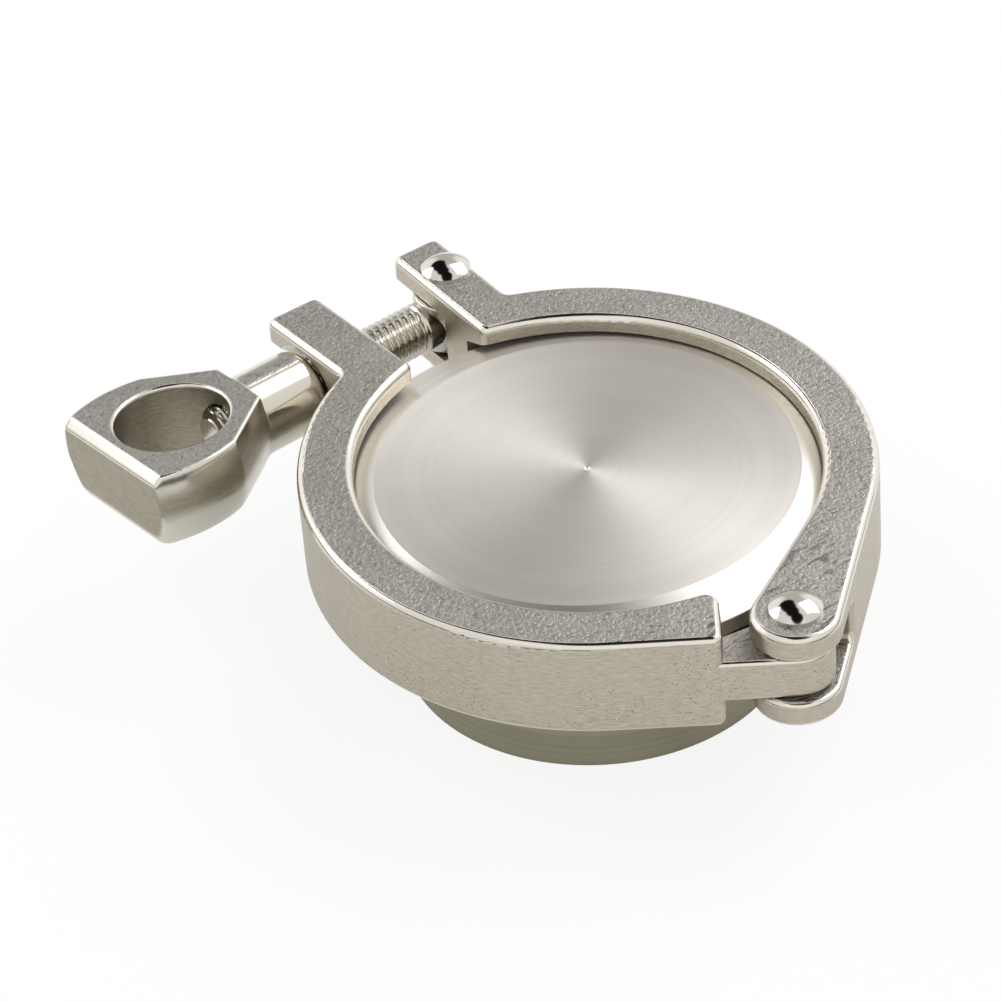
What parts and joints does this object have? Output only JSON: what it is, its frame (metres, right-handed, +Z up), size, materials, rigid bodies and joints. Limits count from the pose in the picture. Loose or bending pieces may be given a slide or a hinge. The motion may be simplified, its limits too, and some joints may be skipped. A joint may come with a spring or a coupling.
{
  "type": "sanitary clamp end cap",
  "caption": "Hinged two-jaw sanitary clamp with swing bolt and eye nut, pulling a blank end cap onto a tube ferrule over a seal.",
  "frame": {"origin": "centre of the ferrule's weld end, on the tube axis and on the floor", "axes": "+Z up the tube axis to the end cap, -Y towards the hinge, +Y towards the swing bolt, the eye nut on -X"},
  "size_m": [0.1121, 0.1402, 0.043],
  "materials": {
    "turned_steel": "fine turned",
    "seal_rubber": "moulded matte",
    "cast_steel": "investment cast and tumbled",
    "polished_steel": "polished",
    "bolt_steel": "rolled thread, bright",
    "tumbled_steel": "tumbled cast"
  },
  "bodies": {
    "base": {"ferrule": "turned_steel", "gasket": "seal_rubber", "end_cap": "turned_steel", "fork_jaw": "cast_steel", "hinge_rivet": "polished_steel", "bolt_rivet": "polished_steel"},
    "slot_jaw": {"slot_jaw": "cast_steel"},
    "swing_bolt": {"swing_bolt": "bolt_steel"},
    "eye_nut": {"eye_nut": "tumbled_steel"}
  },
  "joints": [
    {"name": "jaw_open", "type": "hinge", "parent": "base", "child": "slot_jaw", "pos_m": [0.0008, -0.056, 0.031], "axis": [0, 0, 1], "range_deg": [0, 4]},
    {"name": "bolt_swing", "type": "hinge", "parent": "base", "child": "swing_bolt", "pos_m": [0.0146, 0.0617, 0.031], "axis": [0, 0, -1], "range_deg": [0, 30]},
    {"name": "nut_travel", "type": "slide", "parent": "swing_bolt", "child": "eye_nut", "axis": [-0.9992, -0.0401, 0], "range_m": [0, 0.016]}
  ],
  "couplings": [
    {"joint": "bolt_swing", "follows": "jaw_open", "ratio": 7.5},
    {"joint": "nut_travel", "follows": "jaw_open", "m_per_rad": 0.22918}
  ]
}
